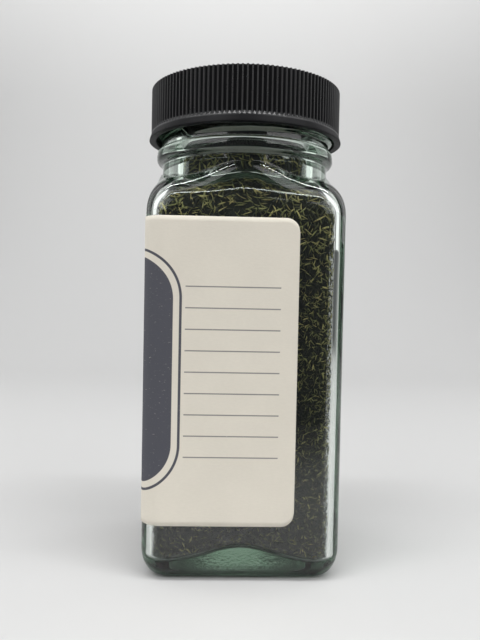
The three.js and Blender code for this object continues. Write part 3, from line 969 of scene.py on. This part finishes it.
class SPICEJAR_OT_dill(bpy.types.Operator):
    """Builds the dried dill: a packed middle, coloured almost black as painted shade between the
    flakes, with leaf flakes and stem pieces on it
    """

    bl_idname = "spice_jar.dill"
    bl_label = "Dried Dill"

    def execute(self, context):
        settings = context.scene.spice_jar_dill
        dark, green = tuple(settings.dark_leaf), tuple(settings.green_leaf)
        pale, stem = tuple(settings.pale_leaf), tuple(settings.stem)
        angle = directions(120)
        core = skin_object("dill_packed_middle", dill_rings(angle, CORE_OFF_GLASS))
        guide = skin_object("dill_guide", dill_rings(angle, FLAKES_OFF_GLASS))
        shapes = flake_shapes()
        tree = scatter_tree()
        # Painted shade: the packed middle is dill, but it gets only the darkest leaf colours, so
        # the gaps between flakes look deep in shade.
        middle = leaf_material("packed_leaf_painted_shade", [(0, dark), (1, green)], 0.8)
        leaf = leaf_material(
            "leaf_flakes", [(0, dark), (0.5, green), (0.82, pale), (1, stem)], 0.55
        )
        stalk = leaf_material("stem_pieces", [(0, green), (0.4, pale), (1, stem)], 0.5)
        leaves = (settings.leaf_density, 1.0, 0.5, 0.8 * MM, 0.4, leaf)
        stems = (settings.stem_density, 1.2, 0.5, 0.5 * MM, 0.25, stalk)
        kinds = [
            ("dill_flakes_low", 0, 30 * MM, 0, *leaves),
            ("dill_flakes_middle", 30 * MM, 60 * MM, 10, *leaves),
            ("dill_flakes_high", 60 * MM, 100 * MM, 20, *leaves),
            ("dill_stem_pieces", 0, 100 * MM, 30, *stems),
        ]
        for name, lowest, highest, extra, density, length, least, depth, tilt, material in kinds:
            mesh = run_tree(guide, tree, {
                "Flakes": shapes, "Density": density, "Length": settings.flake_length * length,
                "Least share": least, "Depth": depth, "Tilt": tilt, "Lowest": float(lowest),
                "Highest": float(highest), "Seed": settings.seed + extra, "Material": material,
            })
            keep_off_glass(mesh, FLAKE_CLEARANCE)
            mesh.shade_smooth()
            finish_piece(new_object(name, mesh), "jar", "dried_dill", None)
        finish_piece(core, "jar", "dried_dill", middle, "dill_weed")
        bpy.data.objects.remove(guide)
        for shape in list(shapes.objects):
            bpy.data.objects.remove(shape)
        bpy.data.collections.remove(shapes)
        return {"FINISHED"}


# Screw cap


def cap_rings(angle):
    """The plain cap's rings, from the middle of its top round the skirt to its ceiling."""
    bottom, top = CAP_LOW.z, CAP_HIGH.z
    ceiling = top - CAP_TOP_WALL
    crown = [(share * (CAP_RADIUS - CAP_EDGE_ROUND), top) for share in (0.05, 0.5, 0.95)]
    edge = rounded_line([
        (CAP_RADIUS - CAP_EDGE_ROUND, top), (CAP_RADIUS, top), (CAP_RADIUS, top - CAP_EDGE_ROUND),
    ])
    side = [(CAP_RADIUS, z)
            for z in np.linspace(top - 2 * CAP_EDGE_ROUND, BAND_TOP + RIB_RUNOUT + 0.2 * MM, 5)]
    ramp = [(CAP_RADIUS, z) for z in np.linspace(BAND_TOP + RIB_RUNOUT, BAND_TOP, 10)]
    rim = rounded_line([
        (CAP_RADIUS, BAND_TOP - 0.1 * MM), (CAP_RIM_RADIUS, bottom + 0.35 * MM),
        (CAP_RIM_RADIUS, bottom), (CAP_BORE, bottom), (CAP_BORE, bottom + 0.4 * MM),
    ])
    rings = [ring(angle, r, z) for r, z in [*crown, *edge, *side, *ramp, *rim]]
    for height in np.arange(bottom + 0.5 * MM, ceiling - 1 * MM, 0.25 * MM):
        rings.append(ring(angle, CAP_BORE - thread_rise(angle, height, CAP_THREAD), height))
    inner = rounded_line([
        (CAP_BORE, ceiling - 0.9 * MM), (CAP_BORE, ceiling), (1 * MM, ceiling),
    ])
    return rings + [ring(angle, r, z) for r, z in inner]


def rib_tree():
    """Geometry nodes that press upright grooves into the side of a round cap."""
    nodes, given, made = new_tree("cap_ribs", {
        "Cap": "Geometry", "Ribs": "Float", "Depth": "Float", "Lower end": "Float",
        "Ramp": "Float", "Inner edge": "Float", "Material": "Material",
    }, "Ribbed cap")
    place = nodes.out("GeometryNodeInputPosition")
    x, y, z = nodes.axes(place)
    away = (x * x + y * y).root()
    share = (y.angle_with(x) * Expression(nodes, given["Ribs"]) / TURN).fract()
    from_crest = abs(share - 0.5) * 2
    groove = from_crest.ramp(0.12, 0.66)
    lower = Expression(nodes, given["Lower end"])
    deepest = Expression(nodes, given["Depth"])
    runout = ((z - lower) * (deepest / given["Ramp"])).most(0)
    rim = away.ramp(given["Inner edge"], CAP_RADIUS - 0.5 * MM)
    depth = (groove * deepest).least(runout) * rim
    inward = nodes.out("ShaderNodeVectorMath", {"operation": "SCALE"}, {
        0: nodes.out("ShaderNodeCombineXYZ", inputs={0: x / away, 1: y / away}),
        "Scale": -depth,
    })
    pressed = nodes.add("GeometryNodeSetPosition", inputs={
        "Geometry": given["Cap"], "Offset": inward,
    })
    return close_tree(nodes, given, made, pressed)


def plastic_material(settings):
    """Black moulded plastic: satin, with a faint grain and slightly greyer outer edges in patches.
    A copy that barely reflects is painted shade in the grooves and on the band.
    """
    material, nodes, output = new_material("black_plastic")
    place = object_place(nodes)
    fine = grain(nodes, place, 1800, 3, 0.6)
    clouds = grain(nodes, place, 120, 3, 0.6)
    away = nodes.out("ShaderNodeVectorMath", {"operation": "LENGTH"}, {
        0: nodes.out("ShaderNodeMapping", inputs={"Vector": place, "Scale": (1, 1, 0)}),
    }, output=1)
    # Slightly greyer colour in patches on the outermost edges of the cap.
    patchy_share = away.ramp(CAP_RADIUS - 0.2 * MM, CAP_RADIUS) * clouds.ramp(0.35, 0.75)
    base = tuple(settings.plastic)
    colour = mix_colour(nodes, patchy_share * 0.5, base, tuple(c * 2.2 for c in base))
    relief = bump(nodes, fine, 0.15, 0.02 * MM)
    # This duller copy of the plastic barely reflects and covers everything except the rib crests
    # and their run-outs. In the grooves and on the band below the ribs it is painted shade.
    dull_shaded_copy = nodes.add("ShaderNodeBsdfPrincipled", inputs={
        "Base Color": colour, "Roughness": 0.5, "Specular IOR Level": 0.06, "Normal": relief,
    })
    crest = nodes.add("ShaderNodeBsdfPrincipled", inputs={
        "Base Color": colour, "Roughness": 0.22 + clouds * 0.08 + fine * 0.05,
        "IOR": 1.49, "Specular IOR Level": 0.5, "Normal": relief,
    })
    runout = nodes.axes(place)[2].ramp(BAND_TOP + 0.6 * MM, BAND_TOP + RIB_RUNOUT, 1, 0)
    band = nodes.axes(place)[2].ramp(BAND_TOP - 0.3 * MM, BAND_TOP, 0.12, 1)
    shiny = away.ramp(CAP_RADIUS - 0.4 * MM, CAP_RADIUS - 0.06 * MM).most(runout) * band
    mixed = nodes.out("ShaderNodeMixShader", inputs={
        0: shiny, 1: dull_shaded_copy.outputs[0], 2: crest.outputs[0],
    })
    nodes.tree.links.new(mixed.socket, output.inputs["Surface"])
    return material


def foam_material():
    material, nodes, output = new_material("liner_foam")
    cells = nodes.out(
        "ShaderNodeTexVoronoi", inputs={"Vector": object_place(nodes), "Scale": 2400}
    )
    colour = mix_colour(nodes, cells.ramp(0, 0.6), (0.66, 0.64, 0.58), (0.84, 0.82, 0.77))
    surface(nodes, output, {
        "Base Color": colour, "Roughness": 0.6 + cells * 0.2,
        "Normal": bump(nodes, cells, 0.3, 0.05 * MM),
    })
    return material


class SPICEJAR_OT_cap(bpy.types.Operator):
    """Builds the ribbed screw cap and the sealing disc inside it"""

    bl_idname = "spice_jar.cap"
    bl_label = "Screw Cap"

    def execute(self, context):
        settings = context.scene.spice_jar_cap
        angle = np.linspace(0, TURN, settings.rib_count * 6, endpoint=False)
        plain = skin_object("cap_blank", cap_rings(angle))
        mesh = run_tree(plain, rib_tree(), {
            "Ribs": float(settings.rib_count), "Depth": settings.rib_depth,
            "Lower end": BAND_TOP, "Ramp": RIB_RUNOUT, "Inner edge": CAP_RADIUS - 1 * MM,
            "Material": plastic_material(settings),
        })
        mesh.shade_smooth()
        cap = new_object("ribbed_screw_cap", mesh)
        finish_piece(cap, "cap", "black_plastic", None, "screw_cap")
        bpy.data.objects.remove(plain)

        low, high, radius = LINER_LOW.z, LINER_HIGH.z, LINER_HIGH.x
        round_line = np.linspace(0, TURN, 96, endpoint=False)
        section = rounded_line([
            (1 * MM, low), (radius, low), (radius, high), (1 * MM, high),
        ], 2)
        liner = skin_object("sealing_disc", [ring(round_line, r, z) for r, z in section])
        finish_piece(liner, "liner", "liner_foam", foam_material(), "cap_liner")
        return {"FINISHED"}


# Stage

CAMERA_PLACE = Vector((-6.2, -163.44, 61.86)) * MM
CAMERA_FORWARD = Vector((0.0357, 0.9988, -0.033))
CAMERA_UP = Vector((-0.0188, 0.0336, 0.9993))
CAMERA_LENS = 37.12

FLOOR_FRONT = -0.2

JAR_FOOT = (0, 0, 0.05)
LIGHTS = [  # name, place, point aimed at, width and height, watts
    ("strip_over_front", (0, -0.13, 0.52), JAR_FOOT, (0.5, 0.03), 1.3),
    ("box_front_left", (-0.40, -0.32, 0.44), JAR_FOOT, (0.62, 0.5), 1.95),
    ("box_front_right", (0.40, -0.32, 0.44), JAR_FOOT, (0.62, 0.5), 1.95),
    ("strip_over_back", (0, 0.45, 0.55), (0, 0.64, 0.36), (0.9, 0.05), 1.02),
    ("card_left", (-0.4, 0.2, 0.34), (0, 0.05, 0.1), (0.3, 0.5), 0.52),
    ("card_right", (0.4, 0.2, 0.34), (0, 0.05, 0.1), (0.3, 0.5), 0.52),
]


def area_light(name, place, aim, size, power):
    light = bpy.data.lights.new(name, "AREA")
    light.shape = "RECTANGLE"
    light.size, light.size_y = size
    light.energy = power
    lamp = new_object(name, light)
    lamp.location = place
    lamp.rotation_euler = (Vector(aim) - Vector(place)).to_track_quat("-Z", "Y").to_euler()


def backdrop_object():
    """A floor that rises behind the jar in one smooth sweep."""
    depth, radius, height, half = 0.34, 0.30, 1.0, 1.3
    line = [(FLOOR_FRONT, 0), (-0.1, 0), (0, 0), (depth, 0)]
    for t in np.linspace(0, math.pi / 2, 17)[1:]:
        line.append((depth + radius * math.sin(t), radius * (1 - math.cos(t))))
    line.append((depth + radius, height))
    points = [(x, y, z) for y, z in line for x in (-half, half)]
    faces = [(2 * i, 2 * i + 1, 2 * i + 3, 2 * i + 2) for i in range(len(line) - 1)]
    mesh = bpy.data.meshes.new("sweep")
    mesh.from_pydata(points, [], faces)
    mesh.shade_smooth()
    return new_object("sweep", mesh)


def sweep_material(settings):
    """Matt pale paper, with painted shade that darkens it near its front edge, which only the glass
    mirrors.
    """
    material, nodes, output = new_material("matt_paper_sweep")
    place = object_place(nodes)
    clouds = grain(nodes, place, 4, 2, 0.5)
    colour = mix_colour(
        nodes, clouds, tuple(c * 0.985 for c in settings.floor), tuple(settings.floor)
    )
    # Painted shade: the floor's colour darkens towards its front edge.
    front = nodes.axes(place)[1].ramp(FLOOR_FRONT, -0.06)
    colour = mix_colour(nodes, front, (0.16, 0.16, 0.16), colour)
    surface(nodes, output, {"Base Color": colour, "Roughness": 0.7, "Specular IOR Level": 0.2})
    return material


class SPICEJAR_OT_stage(bpy.types.Operator):
    """Sets up the floor, the lights and the camera"""

    bl_idname = "spice_jar.stage"
    bl_label = "Stage, Lights and Camera"

    def execute(self, context):
        settings = context.scene.spice_jar_stage
        scene = context.scene
        sweep = backdrop_object()
        sweep.data.materials.append(sweep_material(settings))

        for name, place, aim, size, power in LIGHTS:
            area_light(name, place, aim, size, power * settings.light)

        world = bpy.data.worlds.new("soft_room")
        world.use_nodes = True
        background = world.node_tree.nodes["Background"]
        background.inputs["Color"].default_value = (0.95, 0.97, 1, 1)
        background.inputs["Strength"].default_value = 0.12
        scene.world = world

        data = bpy.data.cameras.new("camera")
        data.sensor_width = 36
        data.lens = CAMERA_LENS
        data.clip_start = 0.01
        camera = new_object("camera", data)
        right = CAMERA_FORWARD.cross(CAMERA_UP).normalized()
        up = right.cross(CAMERA_FORWARD).normalized()
        turn = Matrix((right, up, -CAMERA_FORWARD.normalized())).transposed()
        camera.matrix_world = Matrix.Translation(CAMERA_PLACE) @ turn.to_4x4()
        scene.camera = camera
        scene.view_settings.view_transform = "Standard"
        scene.cycles.max_bounces = 40
        scene.cycles.transmission_bounces = 40
        scene.cycles.glossy_bounces = 40
        return {"FINISHED"}


class SPICEJAR_PT_panel(bpy.types.Panel):
    """Lists the pieces of the jar and their settings"""

    bl_label = "Spice Jar"
    bl_idname = "SPICEJAR_PT_panel"
    bl_space_type = "VIEW_3D"
    bl_region_type = "UI"
    bl_category = "Spice Jar"

    def draw(self, context):
        for operator, group, _ in STEPS:
            box = self.layout.box()
            box.operator(operator.bl_idname)
            settings = getattr(context.scene, group)
            for name in settings.__annotations__:
                box.prop(settings, name)


STEPS = [
    (SPICEJAR_OT_glass, "spice_jar_glass", JarSettings),
    (SPICEJAR_OT_label, "spice_jar_label", LabelSettings),
    (SPICEJAR_OT_dill, "spice_jar_dill", DillSettings),
    (SPICEJAR_OT_cap, "spice_jar_cap", CapSettings),
    (SPICEJAR_OT_stage, "spice_jar_stage", StageSettings),
]


def register():
    for operator, name, group in STEPS:
        bpy.utils.register_class(group)
        setattr(bpy.types.Scene, name, bpy.props.PointerProperty(type=group))
        bpy.utils.register_class(operator)
    bpy.utils.register_class(SPICEJAR_PT_panel)


def unregister():
    bpy.utils.unregister_class(SPICEJAR_PT_panel)
    for operator, name, group in reversed(STEPS):
        bpy.utils.unregister_class(operator)
        delattr(bpy.types.Scene, name)
        bpy.utils.unregister_class(group)


def main():
    register()
    bpy.ops.spice_jar.glass()
    bpy.ops.spice_jar.label()
    bpy.ops.spice_jar.dill()
    bpy.ops.spice_jar.cap()
    bpy.ops.spice_jar.stage()


if __name__ == "__main__":
    main()
